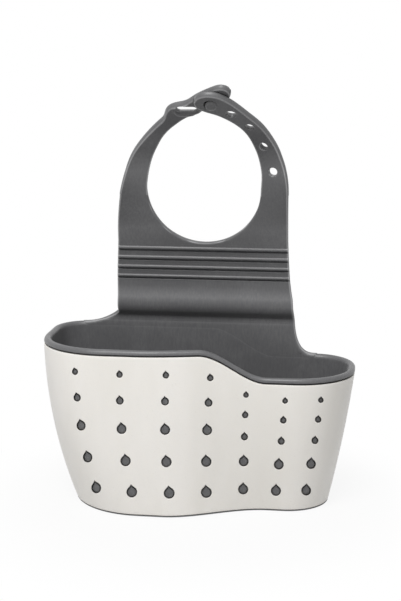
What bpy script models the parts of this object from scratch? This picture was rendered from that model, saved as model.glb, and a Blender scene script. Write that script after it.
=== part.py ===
"""Sink drain basket: a soft liner with a curled hanging strap, held in a hard outer shell.

Axes: X to the right, Y to the back, Z up, in metres. The origin is on the flat underside,
set in from the back face. The strap is drawn flat, as places (across, along), and then bent
along its side profile.
"""
import bpy
import bmesh
import numpy as np
from math import acos, asin, cos, pi, radians, sin
from mathutils import Matrix, Vector

MM = 0.001

# Basket plan, measured from the back face
rim_width = 145.0 * MM
base_inset_left = 11.8 * MM
base_inset_right = 12.0 * MM
rim_depth_left = 60.8 * MM
rim_depth_right = 50.5 * MM
base_depth_left = 50.8 * MM
base_depth_right = 34.8 * MM
origin_from_back = 22.0 * MM
# Corner radii: across and front to back, for front left, front right, back right, back left
rim_front_left_radius = 33.0 * MM
rim_front_right_radius = 27.0 * MM
rim_back_right_radius = 19.0 * MM
rim_back_left_radius = 15.0 * MM
base_front_left_radius = 35.0 * MM
base_front_right_radius = 20.0 * MM
base_back_radius = 11.0 * MM
# The most of each side that its two corners may take
corner_share = 0.95
# Where the front steps back from the deep lobe to the shallow one, in shares of half the width
rim_step_shares = (-0.345, 0.483)
base_step_shares = (-0.193, 0.456)
# Where the rim drops from the high lobe to the low one
drop_shares = (0.048, 0.463)
# How much of each side's slope comes late, as a curve: the left side, the right side
belly_shares = (1.0, 0.3)

# Basket heights
rim_height_left = 80.3 * MM
rim_height_right = 67.3 * MM
rim_back_rise = 0.8 * MM
floor_thickness = 1.8 * MM
floor_fillet = 2.4 * MM

# Walls
shell_wall = 1.5 * MM
liner_wall = 1.7 * MM
fit_gap = 0.3 * MM
lip_height = 2.3 * MM
# Where the liner's wall begins to round into the lip, in shares of the lip's height
lip_root_share = 1.4
foot_height = 1.2 * MM
foot_round = 0.5 * MM
# Share of each back corner that the shell leaves to the liner
shell_end_share = 0.45

# Teardrop windows
window_width = 4.5 * MM
window_height = 5.7 * MM
# Depth shares of the rows in the deep lobe's columns and in the shallow lobe's
window_rows_left_shares = (0.13, 0.287, 0.455, 0.638, 0.838)
window_rows_right_shares = (0.138, 0.29, 0.45, 0.627, 0.832)
# Each column's place round the outline at the rim and at the base: the front left corner is
# 1 to 2, the front is 2 to 3 and the front right corner is 3 to 4
window_column_turns = ((1.715, 1.715), (2.095, 2.004), (2.350, 2.253), (2.576, 2.478),
                       (2.760, 2.723), (2.970, 2.937), (3.330, 3.300))
window_column_width_shares = (1.25, 1.04, 1.0, 1.0, 1.0, 1.04, 1.1)
window_size_left_shares = (0.60, 0.74, 0.92, 1.0, 1.0)
window_size_right_shares = (0.55, 0.61, 0.68, 0.94, 1.0)
window_left_columns = 4

# Drain holes in the floor
drain_hole_diameter = 4.6 * MM
drain_pitch = 11.0 * MM
drain_columns = 10
drain_rows = 4
drain_first_row = 11.5 * MM

# Strap sheet
strap_thickness = 2.5 * MM
back_wall_margin = 0.05 * MM
neck_width = 80.0 * MM
# Each edge's distance from the middle, in shares of half neck_width, at shares of last_rib
neck_left_shares = ((0.0, 1.046), (0.3, 1.04), (0.42, 1.033), (0.61, 1.031), (0.73, 1.025),
                    (0.84, 1.016), (0.96, 1.006), (1.07, 0.998))
neck_right_shares = ((0.0, 1.066), (0.27, 1.066), (0.42, 1.057), (0.53, 1.037), (0.64, 1.024),
                     (0.75, 1.017), (0.87, 1.01), (1.0, 1.006), (1.09, 1.004))
# The flares that spread the neck to the rim end this far from the basket's sides
flare_from_side_left = 14.75 * MM
flare_from_side_right = 19.4 * MM
flare_height_left = 20.5 * MM
flare_height_right = 15.5 * MM
flare_foot_rise = 0.2 * MM
# The shoulder is the bend that brings the strap forward above the back wall
shoulder_start_above_rim = 1.7 * MM
shoulder_length = 18.0 * MM
shoulder_lean_shares = ((0.0, 0.0), (0.14, 0.5), (0.31, 1.0), (0.58, 1.0), (0.81, 0.2), (1.0, -0.06))
shoulder_lean_degrees = 62.0
neck_lean_degrees = 11.0
curl_lean_degrees = 45.0
curl_start = 80.0 * MM
curl_length = 25.0 * MM

# Ribs and the thin hinge lines between them
rib_count = 4
first_rib = 29.25 * MM
rib_pitch = 4.75 * MM
rib_width = 2.4 * MM
rib_rise = 1.05 * MM
hinge_gap = 0.6 * MM
web_above_ribs = 1.15 * MM

# Ring and arms
ring_bore = 52.8 * MM
ring_shift = 1.4 * MM
shoulder_of_left_arm = 37.4 * MM
shoulder_of_right_arm = 40.2 * MM
arm_root_rise = 0.5 * MM
# Middle lines of the arms, from the ring's centre, in shares of the bore's radius
right_arm_shares = ((1.235, 0.023), (1.220, 0.324), (1.167, 0.566), (1.080, 0.805),
                    (0.981, 1.028), (0.858, 1.235), (0.576, 1.544))
right_tip_shares = (0.170, 1.805)
left_arm_shares = ((-1.235, 0.023), (-1.170, 0.290), (-1.102, 0.487), (-0.996, 0.710),
                   (-0.833, 0.934), (-0.625, 1.146), (-0.383, 1.373))
slot_shares = (-0.205, 1.479)
left_neck_shares = (-0.011, 1.627)
stud_shares = (0.247, 1.768)
left_tip_shares = (0.390, 1.862)
arm_width = 10.0 * MM
# Width along each arm, in shares of arm_width, at shares of the arm's length
left_width_shares = ((0.0, 1.24), (0.11, 1.14), (0.19, 1.04), (0.285, 0.895), (0.395, 0.71),
                     (0.51, 0.6), (0.575, 0.66), (0.615, 0.86), (0.65, 0.92), (0.72, 0.86),
                     (0.82, 0.84), (0.93, 0.92), (1.0, 0.82))
right_width_shares = ((0.0, 1.24), (0.14, 1.13), (0.25, 1.08), (0.37, 1.0), (0.48, 0.95),
                      (0.59, 0.93), (0.78, 1.0), (1.0, 1.1))
arm_gap = 0.35 * MM
# Where the left arm moves behind the right one, measured along the strap
crossing_start = 92.0 * MM
crossing_length = 20.0 * MM
hole_diameter = 5.4 * MM
hole_pitch = 12.3 * MM
first_hole_pitch = 10.2 * MM
free_holes = 4
stud_diameter = 4.8 * MM
stud_tip_diameter = 4.3 * MM
stud_proud = 0.8 * MM
slot_length = 10.0 * MM
slot_height = 4.2 * MM
slot_tilt_degrees = 24.0
# Where the right arm folds open, as a share of the way from the third free hole to the second
tip_fold_share = 0.5

# Mesh fineness and the overrun that cutters have past what they cut
overrun = 1.0 * MM
bend_step = 3.0 * MM
profile_step = 0.25 * MM
profile_length = 200.0 * MM
front_columns = 26
corner_columns = 9
depth_levels = 6
window_arc_points = 11
round_sides = 20
weld_distance = 0.002 * MM

half_width = rim_width / 2
wall_total = shell_wall + fit_gap + liner_wall
strap_half = strap_thickness / 2
ring_radius = ring_bore / 2
last_rib = first_rib + rib_pitch * (rib_count - 1)
ring_centre = last_rib + rib_width / 2 + web_above_ribs + ring_radius
arm_root = ring_centre + arm_root_rise
shoulder_height = rim_height_left + shoulder_start_above_rim


def smooth(share):
    """0 below 0, 1 above 1, and an even S between."""
    share = np.clip(share, 0.0, 1.0)
    return share * share * (3.0 - 2.0 * share)


def clear_scene():
    for old in list(bpy.data.objects):
        bpy.data.objects.remove(old, do_unlink=True)


def new_collection(name):
    collection = bpy.data.collections.new(name)
    bpy.context.scene.collection.children.link(collection)
    return collection


def new_material(name, colour, roughness):
    material = bpy.data.materials.new(name)
    material.use_nodes = True
    shader = material.node_tree.nodes["Principled BSDF"]
    shader.inputs["Base Color"].default_value = (*colour, 1.0)
    shader.inputs["Roughness"].default_value = roughness
    shader.inputs["Metallic"].default_value = 0.0
    return material


def mesh_object(name, points, faces, collection):
    mesh = bpy.data.meshes.new(name)
    mesh.from_pydata([tuple(p) for p in points], [], faces)
    piece = bpy.data.objects.new(name, mesh)
    collection.objects.link(piece)
    return piece


def hide_cutter(cutter):
    cutter.hide_render = True
    cutter.display_type = "WIRE"


def set_origin(piece, point):
    """Moves a piece's origin to a point, here always one on its joint's axis."""
    piece.data.transform(Matrix.Translation(-point))
    piece.location = point


def finish_piece(piece, material):
    piece.data.materials.clear()
    piece.data.materials.append(material)
    piece.data.shade_smooth()
    piece.data.set_sharp_from_angle(angle=radians(35.0))


# Basket walls

def rim_plan():
    return {"left": -half_width, "right": half_width,
            "depths": (rim_depth_left, rim_depth_right),
            "radii": (rim_front_left_radius, rim_front_right_radius,
                      rim_back_right_radius, rim_back_left_radius),
            "step": rim_step_shares}


def base_plan():
    return {"left": base_inset_left - half_width, "right": half_width - base_inset_right,
            "depths": (base_depth_left, base_depth_right),
            "radii": (base_front_left_radius, base_front_right_radius,
                      base_back_radius, base_back_radius),
            "step": base_step_shares}


def fitted_radii(plan):
    """Front and back corners share each side, and leave a little of it straight."""
    front_left, front_right, back_right, back_left = plan["radii"]
    left_scale = min(1.0, corner_share * plan["depths"][0] / (front_left + back_left))
    right_scale = min(1.0, corner_share * plan["depths"][1] / (front_right + back_right))
    return (front_left * left_scale, front_right * right_scale,
            back_right * right_scale, back_left * left_scale)


def front_line(across, plan):
    """The front's depth at a place across: the deep lobe, an even step, the shallow lobe."""
    start, end = (share * half_width for share in plan["step"])
    deep, shallow = plan["depths"]
    return origin_from_back - deep + (deep - shallow) * smooth((across - start) / (end - start))


def plan_point(turn, plan):
    """A point of the outline. Each whole number of turn is one stretch: left side, front left
    corner, front, front right corner, right side, back right corner, back, back left corner."""
    turn = turn % 8
    stretch = int(turn)
    share = turn - stretch
    left, right = plan["left"], plan["right"]
    deep, shallow = plan["depths"]
    back = origin_from_back
    front_left, front_right, back_right, back_left = fitted_radii(plan)
    if stretch == 0:
        return left, back - back_left - share * (deep - front_left - back_left)
    if stretch == 1:
        angle = pi * (1.0 + share / 2)
        return left + front_left * (1 + cos(angle)), back - deep + front_left * (1 + sin(angle))
    if stretch == 2:
        across = left + front_left + share * (right - left - front_left - front_right)
        return across, float(front_line(across, plan))
    if stretch == 3:
        angle = pi * (1.5 + share / 2)
        return right - front_right * (1 - cos(angle)), back - shallow + front_right * (1 + sin(angle))
    if stretch == 4:
        return right, back - shallow + front_right + share * (shallow - front_right - back_right)
    if stretch == 5:
        angle = pi * share / 2
        return right - back_right * (1 - cos(angle)), back - back_right * (1 - sin(angle))
    if stretch == 6:
        return right - back_right - share * (right - left - back_right - back_left), back
    angle = pi * (0.5 + share / 2)
    return left + back_left * (1 + cos(angle)), back - back_left * (1 - sin(angle))


def rim_height(across, depth_from_front):
    """The rim's height: high on the left, an even drop, low on the right, a little up at the back."""
    start, end = (share * half_width for share in drop_shares)
    low = (rim_height_left - rim_height_right) * smooth((across - start) / (end - start))
    return rim_height_left - low + rim_back_rise * np.clip(depth_from_front / rim_depth_left, 0, 1) ** 3


class Wall:
    """The basket's outer surface on a list of turns, from the rim down to the base."""

    def __init__(self, turns):
        self.rim = np.array([plan_point(t, rim_plan()) for t in turns])
        self.base = np.array([plan_point(t, base_plan()) for t in turns])
        from_front = self.rim[:, 1] - (origin_from_back - rim_depth_left)
        self.top = rim_height(self.rim[:, 0], from_front)
        across = (self.rim[:, 0] + half_width) / rim_width
        self.belly = belly_shares[0] + (belly_shares[1] - belly_shares[0]) * across

    def at_share(self, depth_share):
        share = depth_share * np.ones(len(self.top))
        inward = ((1 - self.belly) * share + self.belly * share ** 2)[:, None]
        flat = self.rim + (self.base - self.rim) * inward
        return np.column_stack([flat, self.top * (1 - share)])

    def below_rim(self, distance):
        return self.at_share(distance / self.top)

    def at_height(self, height):
        return self.at_share(1 - height / self.top)


def inset_loop(loop, distance):
    """Moves a closed outline level inward by a distance, square to itself."""
    along = np.roll(loop, -1, axis=0)[:, :2] - np.roll(loop, 1, axis=0)[:, :2]
    along /= np.linalg.norm(along, axis=1)[:, None]
    moved = loop.copy()
    moved[:, 0] -= along[:, 1] * distance
    moved[:, 1] += along[:, 0] * distance
    return moved


def closed_turns():
    """Turns for the whole outline, with more of them where it curves."""
    counts = (2, corner_columns, front_columns, corner_columns, 2, corner_columns, front_columns,
              corner_columns)
    return [stretch + step / count for stretch, count in enumerate(counts) for step in range(count)]


def shell_turns(margin):
    """Turns for the shell's run, from part way round one back corner to the other."""
    lengthen = margin / (rim_back_left_radius * pi / 2)
    start = -shell_end_share - lengthen
    end = 6 - (1 - shell_end_share) + lengthen
    inner = [t for t in closed_turns() if t < end - fit_gap / rim_width and t > 0]
    corner = [start + (0 - start) * k / (corner_columns // 2) for k in range(corner_columns // 2)]
    return corner + [0.0] + inner + [end]


def loft(name, loops, collection, closed=True, capped=True):
    """Joins loops of equal count into one surface, in order."""
    count = len(loops[0])
    points = np.concatenate(loops)
    span = count if closed else count - 1
    faces = []
    for level in range(len(loops) - 1):
        low, high = level * count, (level + 1) * count
        for k in range(span):
            n = (k + 1) % count
            faces.append((low + k, low + n, high + n, high + k))
    if capped:
        faces.append(tuple(range(count - 1, -1, -1)))
        faces.append(tuple(range(len(points) - count, len(points))))
    piece = mesh_object(name, points, faces, collection)
    edit = bmesh.new()
    edit.from_mesh(piece.data)
    if capped:
        bmesh.ops.recalc_face_normals(edit, faces=edit.faces)
    edit.to_mesh(piece.data)
    edit.free()
    return piece


def wall_frame(turn, depth_share):
    """A point on the outer wall, with its level tangent, its upward tangent and its normal."""
    step = 0.01
    turns = (turn - step, turn, turn + step)
    here = Wall(turns).at_share(depth_share)
    above = Wall(turns).at_share(depth_share - step)
    below = Wall(turns).at_share(depth_share + step)
    out = Vector(here[2] - here[0]).cross(Vector(above[1] - below[1])).normalized()
    across = Vector((-out.y, out.x, 0.0)).normalized()
    return Vector(here[1]), across, out.cross(across), out


def teardrop(width, height):
    """A round bottom with two straight sides to a point on top, centred on the round part."""
    radius = width / 2
    tip = height - radius
    spread = acos(radius / tip)
    angles = np.linspace(pi / 2 - spread, -3 * pi / 2 + spread, window_arc_points)
    return [(0.0, tip)] + [(radius * cos(a), radius * sin(a)) for a in angles]


def window_cutters(name, shrink, reach_in, reach_out, collection):
    """One prism for each window, square to the wall, joined in one cutter."""
    points, faces = [], []
    for column, (turn_at_rim, turn_at_base) in enumerate(window_column_turns):
        left = column < window_left_columns
        sizes = window_size_left_shares if left else window_size_right_shares
        rows = window_rows_left_shares if left else window_rows_right_shares
        stretch = window_column_width_shares[column]
        for size, depth_share in zip(sizes, rows):
            turn = turn_at_rim + (turn_at_base - turn_at_rim) * depth_share
            centre, across, up, out = wall_frame(turn, depth_share)
            drop = teardrop(window_width * size - 2 * shrink, window_height * size - 3 * shrink)
            middle = (window_height - window_width) * size / 2
            first = len(points)
            for reach in (-reach_in, reach_out):
                for x, y in drop:
                    level = across * x * stretch
                    points.append(centre + level + up * (y - middle) + out * reach)
            count = len(drop)
            faces.append(tuple(first + k for k in range(count)))
            faces.append(tuple(first + count + k for k in reversed(range(count))))
            for k in range(count):
                n = (k + 1) % count
                faces.append((first + n, first + k, first + count + k, first + count + n))
    cutter = mesh_object(name, points, faces, collection)
    hide_cutter(cutter)
    return cutter


def cut_with(piece, cutter, name, operation="DIFFERENCE"):
    cut = piece.modifiers.new(name, "BOOLEAN")
    cut.operation = operation
    cut.solver = "EXACT"
    cut.object = cutter


def shell_surface(name, margin, collection):
    """The shell's face: an open sheet on the wall, between the lip and the foot."""
    wall = Wall(shell_turns(margin))
    top = (lip_height + fit_gap - margin) / wall.top
    bottom = 1 - (foot_height + fit_gap - margin) / wall.top
    levels = [wall.at_share(bottom + (top - bottom) * k / depth_levels) for k in range(depth_levels + 1)]
    return loft(name, levels, collection, closed=False, capped=False)


def thicken(piece, inward, outward):
    solid = piece.modifiers.new("Wall", "SOLIDIFY")
    solid.thickness = inward + outward
    solid.offset = (outward - inward) / (inward + outward)
    solid.use_even_offset = True
    solid.use_quality_normals = True


def make_shell(parts, cutters, material):
    shell = shell_surface("outer_shell", 0.0, parts)
    thicken(shell, shell_wall, 0.0)
    windows = window_cutters("shell_windows", 0.0, shell_wall + overrun, overrun, cutters)
    cut_with(shell, windows, "Windows")
    finish_piece(shell, material)
    return shell


def liner_loops():
    """The liner's skin from its underside, up its outside, over the lip and down the inside."""
    wall = Wall(closed_turns())
    foot = wall.at_height(0.0)
    loops = [inset_loop(foot, foot_round)]
    bottom = 1 - foot_round / wall.top
    top = lip_root_share * lip_height / wall.top
    for k in range(depth_levels + 1):
        loops.append(wall.at_share(bottom + (top - bottom) * k / depth_levels))
    crown = wall_total / 2
    for degree in (25, 60, 90, 120, 155):
        angle = radians(degree)
        drop = lip_height * (1 - sin(angle))
        loops.append(inset_loop(wall.below_rim(drop), crown * (1 - cos(angle))))
    fillet_top = 1 - (floor_thickness + floor_fillet) / wall.top
    for k in range(depth_levels + 1):
        loops.append(inset_loop(wall.at_share(top + (fillet_top - top) * k / depth_levels), wall_total))
    for degree in (35, 90):
        angle = radians(degree)
        height = floor_thickness + floor_fillet * (1 - sin(angle))
        loops.append(inset_loop(wall.at_height(height), wall_total + floor_fillet * (1 - cos(angle))))
    loops[-1][:, 2] = floor_thickness
    loops[0][:, 2] = 0.0
    return loops


def drain_cutters(collection):
    """Upright round cutters in rows, left out where they would reach a wall."""
    edit = bmesh.new()
    depth = floor_thickness + 2 * overrun
    edge = wall_total + floor_fillet + drain_hole_diameter / 2
    plan = base_plan()
    outline = Wall(closed_turns()).base
    for row in range(drain_rows):
        back = origin_from_back - drain_first_row - row * drain_pitch
        for column in range(drain_columns):
            across = (column - (drain_columns - 1) / 2) * drain_pitch
            to_wall = np.min(np.hypot(outline[:, 0] - across, outline[:, 1] - back))
            if to_wall < edge or back < front_line(across, plan):
                continue
            place = Matrix.Translation((across, back, floor_thickness / 2))
            bmesh.ops.create_cone(edit, cap_ends=True, segments=round_sides - 6,
                                  radius1=drain_hole_diameter / 2, radius2=drain_hole_diameter / 2,
                                  depth=depth, matrix=place)
    mesh = bpy.data.meshes.new("drain_holes")
    edit.to_mesh(mesh)
    edit.free()
    cutter = bpy.data.objects.new("drain_holes", mesh)
    collection.objects.link(cutter)
    hide_cutter(cutter)
    return cutter


# Strap profile, seen from the side

def lean_at(along):
    """How far the strap leans forward, in degrees, at a distance along it above the back wall."""
    places = [share * shoulder_length for share, _ in shoulder_lean_shares]
    leans = [share * shoulder_lean_degrees for _, share in shoulder_lean_shares]
    places += [first_rib, curl_start, curl_start + 0.6 * curl_length, curl_start + curl_length]
    halfway = neck_lean_degrees + 0.55 * (curl_lean_degrees - neck_lean_degrees)
    leans += [neck_lean_degrees, neck_lean_degrees, halfway, curl_lean_degrees]
    return np.interp(along, places, leans)


profile_along = np.arange(0.0, profile_length, profile_step)
profile_lean = np.radians(lean_at(profile_along))
profile_back = np.concatenate([[0.0], np.cumsum(-np.sin(profile_lean[:-1]) * profile_step)])
profile_up = np.concatenate([[0.0], np.cumsum(np.cos(profile_lean[:-1]) * profile_step)])
profile_back += origin_from_back - back_wall_margin - strap_half
profile_up += shoulder_height


def bent(across, along, out):
    """A place of the flat strap, bent along the profile. out is the distance to the front."""
    if along < 0:
        return Vector((across, profile_back[0] - out, profile_up[0] + along))
    lean = radians(float(lean_at(along)))
    back = float(np.interp(along, profile_along, profile_back))
    up = float(np.interp(along, profile_along, profile_up))
    return Vector((across, back - out * cos(lean), up - out * sin(lean)))


def set_back(along):
    """How far behind the profile the left arm lies."""
    behind = strap_thickness + arm_gap
    return behind * float(smooth((along - crossing_start) / crossing_length))


def flat_sheet(name, outlines, collection):
    """A flat sheet with the strap's thickness. The first outline is its edge, the rest are holes."""
    curve = bpy.data.curves.new(name, "CURVE")
    curve.dimensions = "2D"
    curve.fill_mode = "BOTH"
    curve.extrude = strap_half
    for outline in outlines:
        spline = curve.splines.new("POLY")
        spline.points.add(len(outline) - 1)
        for point, (x, y) in zip(spline.points, outline):
            point.co = (x, y, 0.0, 1.0)
        spline.use_cyclic_u = True
    drawn = bpy.data.objects.new(name + "_drawn", curve)
    collection.objects.link(drawn)
    mesh = bpy.data.meshes.new_from_object(drawn.evaluated_get(bpy.context.evaluated_depsgraph_get()))
    bpy.data.objects.remove(drawn, do_unlink=True)
    piece = bpy.data.objects.new(name, mesh)
    mesh.name = name
    collection.objects.link(piece)
    edit = bmesh.new()
    edit.from_mesh(mesh)
    bmesh.ops.remove_doubles(edit, verts=edit.verts, dist=weld_distance)
    bmesh.ops.recalc_face_normals(edit, faces=edit.faces)
    edit.to_mesh(mesh)
    edit.free()
    return piece


def bake(piece):
    """Applies the modifiers, so that the flat piece can be bent."""
    graph = bpy.context.evaluated_depsgraph_get()
    mesh = bpy.data.meshes.new_from_object(piece.evaluated_get(graph))
    piece.modifiers.clear()
    piece.data = mesh


def bend(piece, behind=None, step=bend_step):
    """Cuts a flat piece across at even steps and lays it on the strap's profile."""
    edit = bmesh.new()
    edit.from_mesh(piece.data)
    low = min(v.co.y for v in edit.verts)
    high = max(v.co.y for v in edit.verts)
    places = np.arange(low, high, step)[1:]
    for place in places:
        everything = edit.verts[:] + edit.edges[:] + edit.faces[:]
        bmesh.ops.bisect_plane(edit, geom=everything, dist=weld_distance,
                               plane_co=(0.0, float(place), 0.0), plane_no=(0.0, 1.0, 0.0))
    for vert in edit.verts:
        across, along, out = vert.co
        vert.co = bent(across, along, out - (behind(along) if behind else 0.0))
    edit.to_mesh(piece.data)
    edit.free()


def neck_edge(side, along):
    """The strap's edge at a distance along it, up to the ring: side -1 is left, 1 is right."""
    shares = neck_left_shares if side < 0 else neck_right_shares
    return side * neck_width / 2 * float(np.interp(along / last_rib, *zip(*shares)))


def neck_flank(side, high, foot, height, from_side, steps=9):
    """An edge of the neck from high down to the rim, where a concave quarter round spreads it."""
    top = foot + height
    points = [(neck_edge(side, along), along) for along in np.linspace(high, top, 4)[:-1]]
    width = half_width - from_side - side * neck_edge(side, foot)
    for k in range(steps + 1):
        angle = pi / 2 * k / steps
        along = foot + height * (1 - sin(angle))
        points.append((neck_edge(side, along) + side * width * (1 - cos(angle)), along))
    return points


def rib_bar(name, along, collection):
    """A half-round rib across the strap, sunk a little into its front face."""
    half = rib_width / 2
    sides = 10
    outline = [(half * cos(pi * k / sides), rib_rise * sin(pi * k / sides)) for k in range(sides + 1)]
    outline = [(-half, -strap_half / 2), (half, -strap_half / 2)] + outline
    points = [(neck_edge(side, along), along + y, strap_half + z)
              for side in (-1, 1) for y, z in outline]
    count = len(outline)
    faces = [tuple(range(count)), tuple(range(2 * count - 1, count - 1, -1))]
    faces += [(k, k + count, (k + 1) % count + count, (k + 1) % count) for k in range(count)]
    bar = mesh_object(name, points, faces, collection)
    edit = bmesh.new()
    edit.from_mesh(bar.data)
    bmesh.ops.recalc_face_normals(edit, faces=edit.faces)
    edit.to_mesh(bar.data)
    edit.free()
    hide_cutter(bar)
    return bar


def rib_place(number):
    """The middle of a rib. Number 1 is the one below the ring."""
    return last_rib - rib_pitch * (number - 1)


def hinge_place(number):
    """The hinge line below a rib."""
    return rib_place(number) - rib_pitch / 2


def neck_outline(low, high):
    return [(neck_edge(side, along), along)
            for side, along in ((-1, low), (1, low), (1, high), (-1, high))]


def make_rib_segment(number, parts, cutters, material):
    low = hinge_place(number) + hinge_gap / 2
    high = hinge_place(number - 1) - hinge_gap / 2
    segment = flat_sheet(f"neck_rib_{number}", [neck_outline(low, high)], parts)
    bar = rib_bar(f"rib_bar_{number}", rib_place(number), cutters)
    cut_with(segment, bar, "Rib", "UNION")
    bake(segment)
    bend(segment)
    set_origin(segment, bent(0.0, hinge_place(number), 0.0))
    finish_piece(segment, material)
    return segment


def make_liner(parts, cutters, material):
    """The bucket with its lip, foot, bosses and drain holes, and the strap's root on its back."""
    liner = loft("inner_liner", liner_loops(), parts)
    room = shell_surface("shell_room", fit_gap, cutters)
    thicken(room, shell_wall + fit_gap, overrun)
    bosses = window_cutters("boss_outlines", fit_gap, shell_wall + 2 * overrun, 2 * overrun, cutters)
    cut_with(room, bosses, "Bosses")
    hide_cutter(room)
    cut_with(liner, room, "Shell room")
    cut_with(liner, drain_cutters(cutters), "Drain holes")
    root = make_neck_root(cutters)
    cut_with(liner, root, "Neck root", "UNION")
    finish_piece(liner, material)
    return liner


def make_neck_root(collection):
    """The sheet that rises from the back wall, with a flare on each side down to the rim."""
    foot_left = rim_height_left + rim_back_rise + flare_foot_rise - shoulder_height
    foot_right = rim_height_right + rim_back_rise + flare_foot_rise - shoulder_height
    high = hinge_place(rib_count) - hinge_gap / 2
    sink = 2 * lip_height
    left = neck_flank(-1, high, foot_left, flare_height_left, flare_from_side_left)
    right = neck_flank(1, high, foot_right, flare_height_right, flare_from_side_right)
    outline = left + [(left[-1][0], foot_left - sink), (right[-1][0], foot_right - sink)]
    outline += right[::-1]
    root = flat_sheet("neck_root", [outline], collection)
    bend(root)
    hide_cutter(root)
    return root


# Ring and arms, drawn flat

def spline_points(points, steps=6):
    """A smooth curve through points: each stretch bends evenly from one tangent to the next."""
    points = [np.array(p) for p in points]
    padded = [2 * points[0] - points[1]] + points + [2 * points[-1] - points[-2]]
    curve = []
    for k in range(1, len(padded) - 2):
        before, start, end, after = padded[k - 1:k + 3]
        for step in range(steps):
            t = step / steps
            curve.append(0.5 * (2 * start + (end - before) * t
                                + (2 * before - 5 * start + 4 * end - after) * t ** 2
                                + (3 * start - before - 3 * end + after) * t ** 3))
    curve.append(points[-1])
    return np.array(curve)


def from_ring(shares):
    """A place in the flat strap, from its shares of the bore's radius from the ring's centre."""
    return np.array([ring_shift, ring_centre]) + ring_radius * np.array(shares)


def arm_line(shares):
    return spline_points([from_ring(share) for share in shares])


def lengths_along(line):
    return np.concatenate([[0.0], np.cumsum(np.linalg.norm(np.diff(line, axis=0), axis=1))])


def place_on(line, distance):
    """The point and the direction of a line at a distance along it."""
    lengths = lengths_along(line)
    point = np.array([np.interp(distance, lengths, line[:, k]) for k in (0, 1)])
    probe = arm_width / 10
    ahead = np.array([np.interp(distance + probe, lengths, line[:, k]) for k in (0, 1)])
    behind = np.array([np.interp(distance - probe, lengths, line[:, k]) for k in (0, 1)])
    direction = (ahead - behind) / np.linalg.norm(ahead - behind)
    return point, direction


def arm_edges(line, width_shares, start, end):
    """The two edges of an arm between two distances along its middle line."""
    lengths = lengths_along(line)
    stops = [start] + [d for d in lengths if start + weld_distance < d < end - weld_distance] + [end]
    left, right = [], []
    for stop in stops:
        point, direction = place_on(line, stop)
        share = np.interp(stop / lengths[-1], *zip(*width_shares))
        side = np.array([-direction[1], direction[0]]) * share * arm_width / 2
        left.append(tuple(point + side))
        right.append(tuple(point - side))
    return left, right


def round_end(line, width_share, steps=10):
    """A half round past the end of an arm, from its left edge to its right edge."""
    point, direction = place_on(line, lengths_along(line)[-1])
    side = np.array([-direction[1], direction[0]])
    radius = width_share * arm_width / 2
    angles = [pi * k / steps for k in range(1, steps)]
    return [tuple(point + radius * (side * cos(a) + direction * sin(a))) for a in angles]


def circle(centre, diameter, sides=round_sides):
    return [(centre[0] + diameter / 2 * cos(2 * pi * k / sides),
             centre[1] + diameter / 2 * sin(2 * pi * k / sides)) for k in range(sides)]


def slot_outline(centre, direction, sides=6):
    """A long hole with round ends, along a direction."""
    side = np.array([-direction[1], direction[0]])
    radius = slot_height / 2
    half = slot_length / 2 - radius
    points = []
    for end in (1, -1):
        for k in range(sides + 1):
            angle = pi * k / sides - pi / 2
            offset = direction * (half + radius * cos(angle)) * end + side * radius * sin(angle) * end
            points.append(tuple(centre + offset))
    return points


def right_line():
    return arm_line(right_arm_shares + (stud_shares, right_tip_shares))


def left_line():
    return arm_line(left_arm_shares + (slot_shares, left_neck_shares, stud_shares, left_tip_shares))


def stud_distance():
    """How far along the right arm the stud's hole is."""
    line = right_line()
    nearest = int(np.argmin(np.linalg.norm(line - from_ring(stud_shares), axis=1)))
    return lengths_along(line)[nearest]


def hole_distances():
    """Distances of the free holes along the right arm, from the one next to the stud."""
    return [stud_distance() - first_hole_pitch - k * hole_pitch for k in range(free_holes)]


def fold_distance():
    """Where the right arm folds open, between its second and third free holes."""
    holes = hole_distances()
    return holes[2] + tip_fold_share * (holes[1] - holes[2])


def make_ring_plate(parts, cutters, material):
    low = hinge_place(1) + hinge_gap / 2
    high = arm_root - hinge_gap / 2
    start = last_rib + rib_width
    outline = [(neck_edge(-1, low), low), (neck_edge(1, low), low)]
    sides = {}
    for side, shoulder in ((1, shoulder_of_right_arm), (-1, shoulder_of_left_arm)):
        neck = neck_edge(side, start)
        sides[side] = [(neck + (side * shoulder - neck) * t * t, start + (high - start) * t)
                       for t in np.linspace(0, 1, 7)]
    lift = asin((high - ring_centre) / ring_radius)
    angles = np.linspace(lift, -pi - lift, 37)
    bore = [(ring_shift + ring_radius * cos(a), ring_centre + ring_radius * sin(a)) for a in angles]
    outline += sides[1] + bore + sides[-1][::-1]
    plate = flat_sheet("ring_plate", [outline], parts)
    bar = rib_bar("rib_bar_1", rib_place(1), cutters)
    cut_with(plate, bar, "Rib", "UNION")
    bake(plate)
    bend(plate)
    set_origin(plate, bent(0.0, hinge_place(1), 0.0))
    finish_piece(plate, material)
    return plate


def root_edge(line, sign):
    """The arm's foot: level, at the hinge line, as wide as the ring is there."""
    outer = shoulder_of_right_arm if sign > 0 else -shoulder_of_left_arm
    inner = ring_shift + sign * ring_radius
    level = arm_root + hinge_gap / 2
    return (outer, level), (inner, level)


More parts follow.
